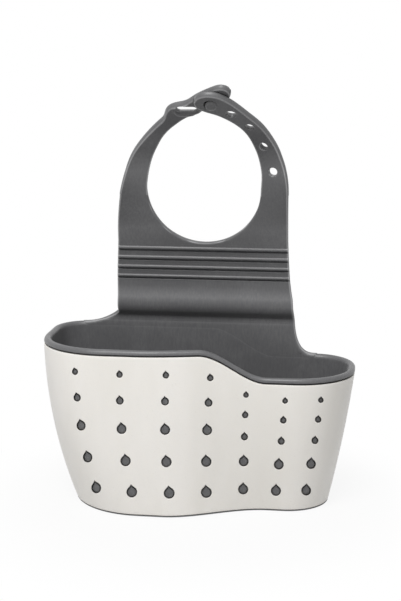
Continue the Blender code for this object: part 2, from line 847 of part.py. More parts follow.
def make_right_arm(parts, material):
    line = right_line()
    fold = fold_distance()
    holes = hole_distances()
    end = lengths_along(line)[-1]
    start = arm_width / 4
    left, right = arm_edges(line, right_width_shares, start, fold - hinge_gap / 2)
    outer, inner = root_edge(line, 1)
    outline = [inner] + left + right[::-1] + [outer]
    bores = [circle(place_on(line, d)[0], hole_diameter) for d in holes[2:]]
    arm = flat_sheet("strap_arm_right", [outline] + bores, parts)
    bend(arm)
    set_origin(arm, bent(0.0, arm_root, 0.0))
    finish_piece(arm, material)
    left, right = arm_edges(line, right_width_shares, fold + hinge_gap / 2, end)
    outline = left + round_end(line, right_width_shares[-1][1]) + right[::-1]
    bores = [circle(place_on(line, d)[0], hole_diameter) for d in holes[:2] + [stud_distance()]]
    tip = flat_sheet("strap_tip", [outline] + bores, parts)
    bend(tip)
    set_origin(tip, bent(*place_on(line, fold)[0], strap_half))
    finish_piece(tip, material)
    return arm, tip


def stud_solid(centre, collection):
    """The stud that the strap buttons onto, slimmer at its tip."""
    root = strap_half / 2
    tip = strap_half + arm_gap + strap_thickness + stud_proud
    edit = bmesh.new()
    place = Matrix.Translation((centre[0], centre[1], (root + tip) / 2))
    bmesh.ops.create_cone(edit, cap_ends=True, segments=round_sides, radius1=stud_diameter / 2,
                          radius2=stud_tip_diameter / 2, depth=tip - root, matrix=place)
    mesh = bpy.data.meshes.new("stud")
    edit.to_mesh(mesh)
    edit.free()
    stud = bpy.data.objects.new("stud", mesh)
    collection.objects.link(stud)
    hide_cutter(stud)
    return stud


def make_left_arm(parts, cutters, material):
    line = left_line()
    lengths = lengths_along(line)
    start = arm_width / 4
    left, right = arm_edges(line, left_width_shares, start, lengths[-1])
    outer, inner = root_edge(line, -1)
    outline = [outer] + left + round_end(line, left_width_shares[-1][1]) + right[::-1] + [inner]
    tilt = radians(slot_tilt_degrees)
    slot = slot_outline(from_ring(slot_shares), np.array([cos(tilt), sin(tilt)]))
    arm = flat_sheet("strap_arm_left", [outline, slot], parts)
    stud = stud_solid(from_ring(stud_shares), cutters)
    cut_with(arm, stud, "Stud", "UNION")
    bake(arm)
    bend(arm, set_back)
    set_origin(arm, bent(0.0, arm_root, 0.0))
    finish_piece(arm, material)
    return arm


def fold_axis():
    """The direction of the fold, square to the right arm and along its front face."""
    point, direction = place_on(right_line(), fold_distance())
    reach = np.array([direction[1], -direction[0]]) * arm_width / 2
    return (bent(*(point + reach), strap_half) - bent(*(point - reach), strap_half)).normalized()


def main():
    clear_scene()
    parts = new_collection("sink_drain_basket")
    cutters = new_collection("cutters")
    plastic = new_material("moulded_polypropylene", (0.79, 0.76, 0.72), 0.42)
    rubber = new_material("thermoplastic_rubber", (0.088, 0.088, 0.09), 0.55)
    make_shell(parts, cutters, plastic)
    make_liner(parts, cutters, rubber)
    for number in range(rib_count, 1, -1):
        make_rib_segment(number, parts, cutters, rubber)
    make_ring_plate(parts, cutters, rubber)
    make_right_arm(parts, rubber)
    make_left_arm(parts, cutters, rubber)
    print("fold axis", [round(v, 4) for v in fold_axis()])
    for piece in parts.objects:
        print(piece.name, [round(v, 6) for v in piece.location])


main()
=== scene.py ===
# Sink drain basket: a pale moulded shell over a dark rubber liner with a ribbed, buttoned strap.
# Lengths are in millimetres until a mesh is made. X is right, Y is back, Z is up.
import bmesh
import bpy
import numpy as np
from math import pi, radians
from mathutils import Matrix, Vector


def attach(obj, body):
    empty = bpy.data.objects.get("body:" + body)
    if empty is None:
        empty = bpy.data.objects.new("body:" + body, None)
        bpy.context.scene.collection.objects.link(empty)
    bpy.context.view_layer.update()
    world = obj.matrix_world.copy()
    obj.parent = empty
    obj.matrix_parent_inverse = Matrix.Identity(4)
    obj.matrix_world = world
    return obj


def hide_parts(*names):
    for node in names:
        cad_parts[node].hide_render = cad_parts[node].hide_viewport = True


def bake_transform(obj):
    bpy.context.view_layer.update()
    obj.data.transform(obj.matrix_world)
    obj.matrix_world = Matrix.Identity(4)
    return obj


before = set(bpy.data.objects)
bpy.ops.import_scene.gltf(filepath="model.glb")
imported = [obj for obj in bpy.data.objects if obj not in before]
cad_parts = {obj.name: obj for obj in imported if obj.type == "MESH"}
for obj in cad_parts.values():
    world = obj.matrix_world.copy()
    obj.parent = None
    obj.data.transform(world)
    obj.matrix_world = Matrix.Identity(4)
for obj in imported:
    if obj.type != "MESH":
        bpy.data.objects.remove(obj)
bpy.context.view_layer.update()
mm = 0.001
print("frame loaded:", sorted(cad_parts))


def linear(hexColour):
    # sRGB hex to linear light: a straight line near black, a power of 2.4 above it
    parts = [int(hexColour[k:k + 2], 16) / 255 for k in (1, 3, 5)]
    return [c / 12.92 if c <= 0.04045 else ((c + 0.055) / 1.055) ** 2.4 for c in parts] + [1.0]


def addNode(tree, kind, settings=None, inputs=None):
    # settings are the node's own properties; an input is a value, or a socket to link from
    node = tree.nodes.new(kind)
    for name, value in (settings or {}).items():
        setattr(node, name, value)
    for name, value in (inputs or {}).items():
        if isinstance(value, bpy.types.NodeSocket):
            tree.links.new(value, node.inputs[name])
        else:
            node.inputs[name].default_value = value
    return node


def evenS(share):
    # 0 below 0, 1 above 1, and 3t^2 - 2t^3 between
    share = np.clip(share, 0.0, 1.0)
    return share * share * (3.0 - 2.0 * share)


def unitRing(sides):
    # points on a circle of radius 1, from its right hand side round
    angle = np.linspace(0, 2 * pi, sides + 1)[:-1]
    return np.stack([np.cos(angle), np.sin(angle)], -1)


def mouthGrowth(depth, radius):
    # how much wider a rounded mouth is at a depth: r - sqrt(r^2 - (r - d)^2), a quarter circle
    left = radius - np.clip(depth, 0, radius)
    return radius - np.sqrt(np.clip(radius ** 2 - left ** 2, 0, None))


def smoothLine(points, count):
    # natural cubic spline through the points, by the length of their chords, at even lengths
    points = np.array(points, float)
    chord = np.concatenate([[0.0], np.cumsum(np.linalg.norm(np.diff(points, axis=0), axis=1))])
    gap = np.diff(chord)
    size = len(points)
    system = np.eye(size)
    target = np.zeros_like(points)
    inner = np.arange(1, size - 1)
    system[inner, inner - 1] = gap[:-1]
    system[inner, inner] = 2 * (gap[:-1] + gap[1:])
    system[inner, inner + 1] = gap[1:]
    slope = np.diff(points, axis=0) / gap[:, None]
    target[1:-1] = 6 * np.diff(slope, axis=0)
    bend = np.linalg.solve(system, target)
    at = np.linspace(0.0, chord[-1], count)
    k = np.clip(np.searchsorted(chord, at, side="right") - 1, 0, size - 2)
    h = gap[k][:, None]
    low, high = (at - chord[k])[:, None], (chord[k + 1] - at)[:, None]
    return ((bend[k] * high ** 3 + bend[k + 1] * low ** 3) / (6 * h)
            + (points[k] / h - bend[k] * h / 6) * high + (points[k + 1] / h - bend[k + 1] * h / 6) * low)


# Materials

def newMaterial(name, inputs):
    # a material whose shader has the given inputs
    material = bpy.data.materials.new(name)
    material.use_nodes = True
    shader = material.node_tree.nodes["Principled BSDF"]
    for key, value in inputs.items():
        shader.inputs[key].default_value = value
    return material, material.node_tree, shader


def layered(tree, place, under, over, sizeMm, detail, span, roughness=0.5, most=1.0, ramp="SMOOTHSTEP"):
    # the colour under with the colour over it in patches of a real size, where a noise rises through span
    noise = addNode(tree, "ShaderNodeTexNoise", {}, {
        "Vector": place, "Scale": 1000 / sizeMm, "Detail": detail, "Roughness": roughness})
    share = addNode(tree, "ShaderNodeMapRange", {"interpolation_type": ramp}, {
        "Value": noise.outputs["Fac"], "From Min": span[0], "From Max": span[1], "To Max": most})
    mixed = addNode(tree, "ShaderNodeMix", {"data_type": "RGBA"}, {
        "Factor": share.outputs["Result"], 6: under, 7: linear(over)})
    return mixed.outputs[2]


def roughened(tree, shader, place, sizeMm, detail, roughness, low, high):
    # the face is between low and high in roughness, in patches of a real size
    noise = addNode(tree, "ShaderNodeTexNoise", {}, {
        "Vector": place, "Scale": 1000 / sizeMm, "Detail": detail, "Roughness": roughness})
    share = addNode(tree, "ShaderNodeMapRange", {}, {
        "Value": noise.outputs["Fac"], "From Min": 0.3, "From Max": 0.7, "To Min": low, "To Max": high})
    tree.links.new(share.outputs["Result"], shader.inputs["Roughness"])


def bumped(tree, shader, place, bumps):
    # noises of a real size, each raised on the one before
    normal = {}
    for sizeMm, detail, roughness, strength, depthMm in bumps:
        noise = addNode(tree, "ShaderNodeTexNoise", {}, {
            "Vector": place, "Scale": 1000 / sizeMm, "Detail": detail, "Roughness": roughness})
        bump = addNode(tree, "ShaderNodeBump", {}, {
            "Height": noise.outputs["Fac"], "Strength": strength, "Distance": depthMm * mm, **normal})
        normal = {"Normal": bump.outputs["Normal"]}
    tree.links.new(bump.outputs["Normal"], shader.inputs["Normal"])


def polypropyleneMaterial():
    # Injection moulded polypropylene with a satin face: waxy, softly shining, a faint orange peel
    look = {"colour": "#e9e6e1", "cloud": "#e2dfd9", "cloudMm": 26.0, "drawnOut": 4.0,
            "speck": "#d6d2cb", "speckMm": 0.35, "roughness": (0.31, 0.43), "patchMm": 18.0,
            # orange peel and grain, as size in millimetres, detail, roughness, strength, depth
            "bumps": ((1.6, 2.0, 0.4, 0.25, 0.06), (0.25, 1.0, 0.5, 0.25, 0.02))}
    material, tree, shader = newMaterial("mouldedPolypropylene", {
        "IOR": 1.49, "Subsurface Weight": 0.06, "Subsurface Radius": (1.0, 0.9, 0.75),
        "Subsurface Scale": 1.2 * mm})
    place = addNode(tree, "ShaderNodeTexCoord").outputs["Object"]
    # slightly darker clouds, drawn out upwards to four times their width
    tall = addNode(tree, "ShaderNodeMapping", {}, {
        "Vector": place, "Scale": (1.0, 1.0, 1 / look["drawnOut"])}).outputs["Vector"]
    base = linear(look["colour"])
    clouded = layered(tree, tall, base, look["cloud"], look["cloudMm"], 3.0, (0.35, 0.7))
    # specks of pigment and dust, a third of a millimetre
    speckled = layered(tree, place, clouded, look["speck"], look["speckMm"], 1.0, (0.66, 0.8))
    tree.links.new(speckled, shader.inputs["Base Color"])
    # handling leaves the satin face a little shinier in soft patches
    roughened(tree, shader, place, look["patchMm"], 4.0, 0.5, *look["roughness"])
    bumped(tree, shader, place, look["bumps"])
    return material


def rubberMaterial():
    # Thermoplastic rubber moulded in a spark-eroded tool: dark grey, matte, with a fine even grain
    # the last pale grey and its share are a painted highlight, mixed in along the strap's front edges
    look = {"colour": "#5d5d5e", "pale": "#646465", "cloudMm": 14.0, "streak": "#555557", "streakMm": 0.7,
            "drawnOut": 4.0, "dust": "#7f7f80", "dustMm": 0.5, "edgeHighlight": "#a2a2a3", "edgeHighlightShare": 0.75,
            "roughness": (0.37, 0.48),
            # waves and grain, as size in millimetres, detail, roughness, strength, depth
            "bumps": ((5.0, 2.0, 0.5, 0.2, 0.1), (0.22, 2.0, 0.6, 0.35, 0.03))}
    material, tree, shader = newMaterial("thermoplasticRubber", {
        "IOR": 1.5, "Sheen Weight": 0.08, "Sheen Roughness": 0.5})
    place = addNode(tree, "ShaderNodeTexCoord").outputs["Object"]
    base = linear(look["colour"])
    clouded = layered(tree, place, base, look["pale"], look["cloudMm"], 5.0, (0.35, 0.75), 0.55)
    # the tool's grain shows as short upright streaks, drawn three times as coarse as it is
    drawn = addNode(tree, "ShaderNodeMapping", {}, {
        "Vector": place, "Scale": (1.0, 1.0, 1 / look["drawnOut"])}).outputs["Vector"]
    streaked = layered(tree, drawn, clouded, look["streak"], look["streakMm"], 2.0, (0.35, 0.65), 0.7,
                       0.75, "LINEAR")
    # soft rubber picks up dust: sparse pale specks of about half a millimetre
    dusted = layered(tree, place, streaked, look["dust"], look["dustMm"], 1.0, (0.7, 0.84), most=0.6)
    # painted highlight: a paler line along the front edges of the strap, where their rounding catches the
    # light
    paintedEdgeHighlight = addNode(tree, "ShaderNodeAttribute", {"attribute_name": "paintedEdgeHighlight"})
    highlightShare = addNode(tree, "ShaderNodeMath", {"operation": "MULTIPLY"}, {
        0: paintedEdgeHighlight.outputs["Fac"], 1: look["edgeHighlightShare"]})
    highlighted = addNode(tree, "ShaderNodeMix", {"data_type": "RGBA"}, {
        "Factor": highlightShare.outputs[0], 6: dusted, 7: linear(look["edgeHighlight"])})
    tree.links.new(highlighted.outputs[2], shader.inputs["Base Color"])
    # the pale clouds are where the face is rougher
    roughened(tree, shader, place, look["cloudMm"], 5.0, 0.55, *look["roughness"])
    bumped(tree, shader, place, look["bumps"])
    return material


polypropylene = polypropyleneMaterial()
rubber = rubberMaterial()
print("materials made")


# Meshes

def newPiece(name, points, quads, caps=()):
    # points in millimetres, faces of four corners, and caps of many corners
    mesh = bpy.data.meshes.new(name)
    mesh.from_pydata((np.asarray(points).reshape(-1, 3) * mm).tolist(), [],
                     np.asarray(quads).reshape(-1, 4).tolist() + list(caps))
    piece = bpy.data.objects.new(name, mesh)
    bpy.context.scene.collection.objects.link(piece)
    return piece


def gridQuads(rows, columns, wrap=False, start=0):
    # one quad between each pair of neighbours in a grid stored row by row
    across = columns if wrap else columns - 1
    row, column = np.meshgrid(np.arange(rows - 1), np.arange(across), indexing="ij")
    after = (column + 1) % columns
    low, high = row * columns, (row + 1) * columns
    return np.stack([low + column, low + after, high + after, high + column], -1).reshape(-1, 4) + start


def tidyMesh(piece, weld=0.002):
    # merges corners closer than weld and turns the faces outwards
    edit = bmesh.new()
    edit.from_mesh(piece.data)
    bmesh.ops.remove_doubles(edit, verts=edit.verts, dist=weld * mm)
    bmesh.ops.recalc_face_normals(edit, faces=edit.faces)
    edit.to_mesh(piece.data)
    edit.free()


def cut(piece, cutters):
    # takes the cutters out of the piece and applies it at once
    for cutter in cutters:
        change = piece.modifiers.new("Cut", "BOOLEAN")
        change.operation = "DIFFERENCE"
        change.solver = "EXACT"
        change.object = cutter
    graph = bpy.context.evaluated_depsgraph_get()
    mesh = bpy.data.meshes.new_from_object(piece.evaluated_get(graph))
    piece.modifiers.clear()
    piece.data = mesh
    for cutter in cutters:
        bpy.data.objects.remove(cutter, do_unlink=True)


def finishPiece(piece, material):
    # smooth faces with sharp edges where they meet at more than 42 degrees
    piece.data.materials.clear()
    piece.data.materials.append(material)
    piece.data.shade_smooth()
    piece.data.set_sharp_from_angle(angle=radians(42.0))


def flatFrames(centres):
    # frames of plugs that stand upright at (x, y) centres: X across, Y up, Z out
    ones = np.ones((len(centres), 1))
    return np.column_stack([centres, 0 * ones]), ones * [1.0, 0, 0], ones * [0, 1.0, 0], ones * [0, 0, 1.0]


def plugs(name, outlines, frames, heights):
    # closed plugs whose points are centre + across x + up y + out h, with x and y from outlines,
    # (plugs, rings, points, 2), and h the height of the ring
    centre, across, up, out = frames
    points = (centre[:, None, None] + across[:, None, None] * outlines[..., :1]
              + up[:, None, None] * outlines[..., 1:] + out[:, None, None] * heights[None, :, None, None])
    count, rings, around = points.shape[:3]
    quads = np.concatenate([gridQuads(rings, around, True, k * rings * around) for k in range(count)])
    first = np.arange(count)[:, None] * rings * around
    caps = (first + np.arange(around)[::-1]).tolist()
    caps += (first + (rings - 1) * around + np.arange(around)).tolist()
    piece = newPiece(name, points, quads, caps)
    tidyMesh(piece)
    return piece


# Basket walls

basket = {
    "halfWidth": 72.5, "back": 22.0, "leftHeight": 80.3, "rightHeight": 67.3, "backRise": 0.8,
    "dropStart": 3.5, "dropEnd": 33.6, "bellyLeft": 1.0, "bellyRight": 0.3,
    "shellStart": -0.45, "shellEnd": 5.45,  # turns at which the shell ends, on the back
    "rim": {"left": -72.5, "right": 72.5, "deep": 60.8, "shallow": 50.5, "step": (-25.0, 35.0),
            "radii": (33.0, 27.0, 19.0, 15.0)},
    "base": {"left": -60.7, "right": 60.5, "deep": 50.8, "shallow": 34.8, "step": (-14.0, 33.1),
             "radii": (35.0, 20.0, 11.0, 11.0)}}
facing = np.array([83.0, -587.0, 209.0])  # the camera, for what is shaped along its line of sight


def planLine(turn, plan):
    # round the plan from above: left side, front left arc, front, front right arc, right side,
    # back right arc, back, back left arc, each one whole turn; the front steps by an even S
    turn = np.mod(turn, 8.0)
    share = turn - np.floor(turn)
    left, right, back = plan["left"], plan["right"], basket["back"]
    deep, shallow = plan["deep"], plan["shallow"]
    frontLeft, frontRight, backRight, backLeft = plan["radii"]
    start, end = plan["step"]
    run = left + frontLeft + share * (right - left - frontLeft - frontRight)
    arc = lambda first: (np.cos(first + share * pi / 2), np.sin(first + share * pi / 2))
    (c1, s1), (c3, s3), (c5, s5), (c7, s7) = arc(pi), arc(1.5 * pi), arc(0.0), arc(0.5 * pi)
    x = [left + 0 * share, left + frontLeft * (1 + c1), run, right - frontRight * (1 - c3),
         right + 0 * share, right - backRight * (1 - c5),
         right - backRight - share * (right - left - backRight - backLeft), left + backLeft * (1 + c7)]
    y = [back - backLeft - share * (deep - frontLeft - backLeft), back - deep + frontLeft * (1 + s1),
         back - deep + (deep - shallow) * evenS((run - start) / (end - start)),
         back - shallow + frontRight * (1 + s3),
         back - shallow + frontRight + share * (shallow - frontRight - backRight),
         back - backRight * (1 - s5), back + 0 * share, back - backLeft * (1 - s7)]
    which = np.floor(turn).astype(int)
    return np.choose(which, x), np.choose(which, y)


def evenTurns(start, end, count):
    # turns whose points on the rim are the same distance apart, by the length along a fine line
    finePoints = 6000
    fine = np.linspace(start, end, finePoints)
    x, y = planLine(fine, basket["rim"])
    length = np.concatenate([[0.0], np.cumsum(np.hypot(np.diff(x), np.diff(y)))])
    return np.interp(np.linspace(0.0, length[-1], count), length, fine)


def rimTop(x, y):
    # high on the left, an even S down to the right, and up by the cube of the way to the back
    low = (basket["leftHeight"] - basket["rightHeight"]) * evenS(
        (x - basket["dropStart"]) / (basket["dropEnd"] - basket["dropStart"]))
    fromFront = (y - basket["back"] + basket["rim"]["deep"]) / basket["rim"]["deep"]
    return basket["leftHeight"] - low + basket["backRise"] * np.clip(fromFront, 0, 1) ** 3


def rimHeightAt(turn):
    # height of the rim above the turn's place in the rim plan
    return rimTop(*planLine(turn, basket["rim"]))


def wallPoint(turn, share, inset=0.0):
    # rim plan + (base plan - rim plan) ((1 - belly) s + belly s^2) at share s, rim height times 1 - s,
    # then moved square to the wall, as seen from above, by inset
    def outer(t):
        rimX, rimY = planLine(t, basket["rim"])
        baseX, baseY = planLine(t, basket["base"])
        across = (rimX + basket["halfWidth"]) / (2 * basket["halfWidth"])
        belly = basket["bellyLeft"] + (basket["bellyRight"] - basket["bellyLeft"]) * across
        inward = (1 - belly) * share + belly * share ** 2
        return rimX + (baseX - rimX) * inward, rimY + (baseY - rimY) * inward
    turnStep = 0.004
    x, y = outer(turn)
    aheadX, aheadY = outer(turn + turnStep)
    behindX, behindY = outer(turn - turnStep)
    length = np.hypot(aheadX - behindX, aheadY - behindY)
    z = rimHeightAt(turn) * (1 - share)
    return np.stack([x - (aheadY - behindY) / length * inset, y + (aheadX - behindX) / length * inset,
                     z + 0 * x], -1)


# Teardrop windows and the bosses in them

windows = {
    "width": 4.75, "height": 5.85, "hollow": 1.25, "round": 0.12, "leftColumns": 4,
    # for each column: turns, how far lower as a share of the wall, share of the width, degrees leant
    "turnsAtRim": (1.758, 2.108, 2.352, 2.581, 2.760, 2.969, 3.330),
    "turnsAtBase": (1.705, 2.017, 2.255, 2.483, 2.723, 2.936, 3.292),
    "lower": (0, 0, 0, 0.011, 0, 0, 0),
    "narrow": (0.9, 0.98, 1.0, 1.0, 1.0, 1.0, 0.97),
    "lean": (12.0, 6.0, 6.0, 5.0, 0.0, 0.0, -3.0),
    # for each row: share of the way down the wall, and size
    "rowsLeft": (0.132, 0.283, 0.449, 0.643, 0.836), "rowsRight": (0.149, 0.289, 0.444, 0.620, 0.827),
    "sizesLeft": (0.62, 0.75, 0.95, 1.0, 1.05), "sizesRight": (0.53, 0.62, 0.68, 0.95, 0.98)}


def windowFrames():
    # centre, sideways direction, upward direction and outward direction of every window; the windows
    # are pierced from the front, so a direction is the front view's one, slid along the line of
    # sight s until it lies in the wall: v - s (v.n)/(s.n)
    columns, rows = len(windows["lean"]), len(windows["rowsLeft"])
    column, row = np.divmod(np.arange(columns * rows), rows)

    def byColumn(name):
        return np.array(windows[name])[column]

    def byRow(name):
        left, right = np.array(windows[name + "Left"])[row], np.array(windows[name + "Right"])[row]
        return np.where(column < windows["leftColumns"], left, right)
    share = byRow("rows") + byColumn("lower")
    turn = byColumn("turnsAtRim") + (byColumn("turnsAtBase") - byColumn("turnsAtRim")) * share
    turnStep, shareStep = 0.01, 0.004
    centre = wallPoint(turn, share)
    around = wallPoint(turn + turnStep, share) - wallPoint(turn - turnStep, share)
    down = wallPoint(turn, share + shareStep) - wallPoint(turn, share - shareStep)
    out = np.cross(down, around)
    out /= np.linalg.norm(out, axis=1)[:, None]
    sight = facing - centre
    sight /= np.linalg.norm(sight, axis=1)[:, None]
    level = np.stack([-sight[:, 1], sight[:, 0], 0 * sight[:, 0]], -1)
    level /= np.linalg.norm(level, axis=1)[:, None]
    rise = np.cross(sight, level)
    lean, narrow = np.radians(byColumn("lean"))[:, None], byColumn("narrow")[:, None]
    onWall = lambda v: v - sight * ((v * out).sum(1) / (sight * out).sum(1))[:, None]
    across = onWall(np.cos(lean) * level + np.sin(lean) * rise) * narrow
    up = onWall(np.cos(lean) * rise - np.sin(lean) * level)
    # the depth is measured square to the wall, along the line of sight
    return centre, across, up, sight / (sight * out).sum(1)[:, None], byRow("sizes")


def dropLine():
    # a circle of radius 1 with two flanks to a rounded point on top; a flank's width is
    # (1 - t)^hollow of the tangent point's, at a share t of the way up
    look = {"circlePoints": 34, "flankPoints": 4, "flankTop": 0.97, "tip": 0.965}
    tip = 2 * windows["height"] / windows["width"] - 1
    spread = np.arccos(1 / tip)
    angle = np.linspace(pi / 2 - spread, -1.5 * pi + spread, look["circlePoints"])
    circle = np.stack([np.cos(angle), np.sin(angle)], -1)
    x, y = circle[0]
    t = np.linspace(0.0, 1.0, look["flankPoints"] + 1)[1:]
    left = np.stack([-x * (1 - t) ** windows["hollow"], y + (tip * look["flankTop"] - y) * t], -1)
    right = left[::-1] * [-1, 1]
    return np.concatenate([circle, left[:-1], [[0.0, tip * look["tip"]]], right[1:]])


def windowPlugs(name, grow, depths):
    # each ring of a window's plug is the teardrop grown by grow, at a depth below the outer face
    centre, across, up, out, size = windowFrames()
    radius = windows["width"] / 2 * size[:, None] + grow
    middle = (windows["height"] - windows["width"]) * size / 2
    outline = dropLine()[None, None] * radius[..., None, None]
    outline = outline - np.stack([0 * middle, middle], -1)[:, None, None]
    return plugs(name, outline, (centre, across, up, out), -depths)


def makeShell():
    # a closed section carried round the wall: outer face, rounded top edge, inner face, foot edge
    look = {"top": 2.95, "foot": 0.8, "wall": 1.5, "round": 0.3, "columns": 420, "rows": 70,
            "innerStep": 6, "arcPoints": 5, "cutterOutside": 1.0, "cutterInside": 0.8}
    turn = evenTurns(basket["shellStart"], basket["shellEnd"], look["columns"])
    height = rimHeightAt(turn)
    topShare, footShare = look["top"] / height, 1 - look["foot"] / height
    wall, r = look["wall"], look["round"]
    arc = np.linspace(0.0, pi / 2, look["arcPoints"])
    down = np.linspace(0.0, 1.0, look["rows"])
    section = []  # (share of the way down between the two rounded edges, millimetres above that, inset)
    section += [(d, 0.0, 0.0) for d in down[::-1]]
    section += [(0.0, r * np.sin(a), r * (1 - np.cos(a))) for a in arc[1:]]
    section += [(0.0, r * np.cos(a), wall - r * (1 - np.sin(a))) for a in arc]
    section += [(d, 0.0, wall) for d in down[1::look["innerStep"]]]
    section += [(1.0, -r * np.sin(a), wall - r * (1 - np.cos(a))) for a in arc]
    section += [(1.0, -r * np.cos(a), r * (1 - np.sin(a))) for a in arc[:-1]]
    edge = r / height
    start, way = topShare + edge, footShare - topShare - 2 * edge
    points = np.stack([wallPoint(turn, start + way * d - lift / height, inset)
                       for d, lift, inset in section], 1)
    rows, columns = points.shape[:2]
    caps = [list(range(columns)), list(range(rows * columns - 1, (rows - 1) * columns - 1, -1))]
    shell = newPiece("shellWall", points, gridQuads(rows, columns, True), caps)
    tidyMesh(shell)
    depth = np.array([-look["cutterOutside"], 0.0, 0.01, 0.03, 0.07, windows["round"],
                      wall + look["cutterInside"]])
    cut(shell, [windowPlugs("windowCutters", mouthGrowth(depth, windows["round"]), depth)])
    finishPiece(shell, polypropylene)
    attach(shell, "basket")
    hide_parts("outer_shell")
    print("shell made:", len(shell.data.polygons), "faces")


def makeBosses():
    # the liner fills each window: a low crowned teardrop below the shell's face, narrower by gap, with
    # its edge rounded off by the numbers of the two lists, from its foot to its crown
    look = {"recess": 0.85, "gap": 0.55, "below": (1.9, 0.7, 0.3, 0.18, 0.1, 0.05, 0.02, 0.0),
            "narrower": (0.0, 0.0, 0.0, 0.04, 0.11, 0.22, 0.36, 0.6)}
    bosses = windowPlugs("windowBosses", -look["gap"] - np.array(look["narrower"]),
                         look["recess"] + np.array(look["below"]))
    finishPiece(bosses, rubber)
    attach(bosses, "basket")
    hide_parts("inner_liner")
    print("bosses made")


def makeLiner():
    # a section carried all round: foot, recess behind the shell, lip, inner face and floor fillet; the
    # lip's height is sin(a)^power of its full one, and its inset half the wall times 1 - cos(a)
    look = {"wall": 3.5, "recess": 1.8, "recessEnd": 0.012, "lip": 2.15, "lipPower": 0.9,
            "lipDegrees": (14, 172), "foot": 0.55, "footRound": 0.35, "floor": 1.8, "fillet": 2.4,
            "columns": 520, "rows": 44, "lipRows": 18, "recessRows": 12, "footRows": 5, "filletRows": 8}
    turn = evenTurns(0.0, 8.0, look["columns"] + 1)[:-1]
    height = rimHeightAt(turn)
    # turns past the middle of the back, 6.5, count from below 0, as the shell's start does; the
    # recess ends with the shell, over recessEnd of a turn
    wrapped = np.where(turn > 6.5, turn - 8, turn)
    recess = look["recess"] * (evenS((wrapped - basket["shellStart"]) / look["recessEnd"] + 0.5)
                               * evenS((basket["shellEnd"] - wrapped) / look["recessEnd"] + 0.5))
    r = look["footRound"]
    loops = [wallPoint(turn, 1 - (r - r * np.cos(a)) / height, r - r * np.sin(a)) for a in
             np.linspace(0.0, pi / 2, look["footRows"])]
    footShare, lipShare = 1 - look["foot"] / height, look["lip"] / height
    # into the recess, as (millimetres below it, share of its depth)
    for below, depth in ((0.25, 0.0), (0.05, 0.08), (0.0, 0.3), (0.0, 1.0)):
        loops.append(wallPoint(turn, footShare + below / height, depth * recess))
    for d in np.linspace(0.0, 1.0, look["recessRows"])[1:-1]:
        loops.append(wallPoint(turn, footShare + (lipShare - footShare) * d, recess))
    # out of it under the lip, as (millimetres above it, share of its depth)
    for above, depth in ((0.0, 1.0), (0.0, 0.3), (0.06, 0.1), (0.3, 0.0)):
        loops.append(wallPoint(turn, lipShare - above / height, depth * recess))
    start, end = np.radians(look["lipDegrees"])
    for a in np.linspace(start, end, look["lipRows"]):
        drop = look["lip"] * (1 - np.sin(a) ** look["lipPower"])
        loops.append(wallPoint(turn, drop / height, look["wall"] / 2 * (1 - np.cos(a))))
    filletTop = 1 - (look["floor"] + look["fillet"]) / height
    for d in np.linspace(0.0, 1.0, look["rows"]):
        loops.append(wallPoint(turn, lipShare + (filletTop - lipShare) * d, look["wall"]))
    for a in np.linspace(0.0, pi / 2, look["filletRows"])[1:]:
        up = look["floor"] + look["fillet"] * (1 - np.sin(a))
        loops.append(wallPoint(turn, 1 - up / height, look["wall"] + look["fillet"] * (1 - np.cos(a))))
    points = np.stack(loops)
    points[0, :, 2] = 0.0
    points[-1, :, 2] = look["floor"]
    rows, columns = points.shape[:2]
    caps = [list(range(columns))[::-1], list(range((rows - 1) * columns, rows * columns))]
    liner = newPiece("linerBucket", points, gridQuads(rows, columns, True), caps)
    tidyMesh(liner)
    cut(liner, [drainPlugs(look["floor"])])
    finishPiece(liner, rubber)
    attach(liner, "basket")
    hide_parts("inner_liner")
    print("liner made:", len(liner.data.polygons), "faces")


def drainPlugs(floor):
    # upright round cutters in rows, wider at both mouths so that the holes' rims are rounded; there are
    # none outside the base line or nearer to it than edge
    look = {"radius": 2.3, "pitch": 11.0, "first": 11.5, "rows": 4, "columns": 10, "edge": 8.2,
            "round": 0.4, "sides": 28, "linePoints": 800, "overrun": 1.0}
    row, column = np.meshgrid(np.arange(look["rows"]), np.arange(look["columns"]), indexing="ij")
    y = basket["back"] - look["first"] - row.ravel() * look["pitch"]
    x = (column.ravel() - (look["columns"] - 1) / 2) * look["pitch"]
    base = basket["base"]
    lineX, lineY = planLine(np.linspace(0, 8, look["linePoints"]), base)
    toWall = np.min(np.hypot(lineX[None] - x[:, None], lineY[None] - y[:, None]), axis=1)
    start, end = base["step"]
    step = (base["deep"] - base["shallow"]) * evenS((x - start) / (end - start))
    front = basket["back"] - base["deep"] + step
    keep = (toWall >= look["edge"]) & (y > front)
    below = np.array([-look["overrun"], 0.0, 0.05, 0.16, look["round"]])
    heights = np.concatenate([below, floor - below[::-1]])
    radius = look["radius"] + mouthGrowth(np.minimum(heights, floor - heights), look["round"])
    outline = np.repeat((radius[:, None, None] * unitRing(look["sides"]))[None], keep.sum(), 0)
    return plugs("drainCutters", outline, flatFrames(np.stack([x[keep], y[keep]], -1)), heights)


makeShell()
makeBosses()
makeLiner()


# Strap: drawn flat as (across, along), then bent on its side profile

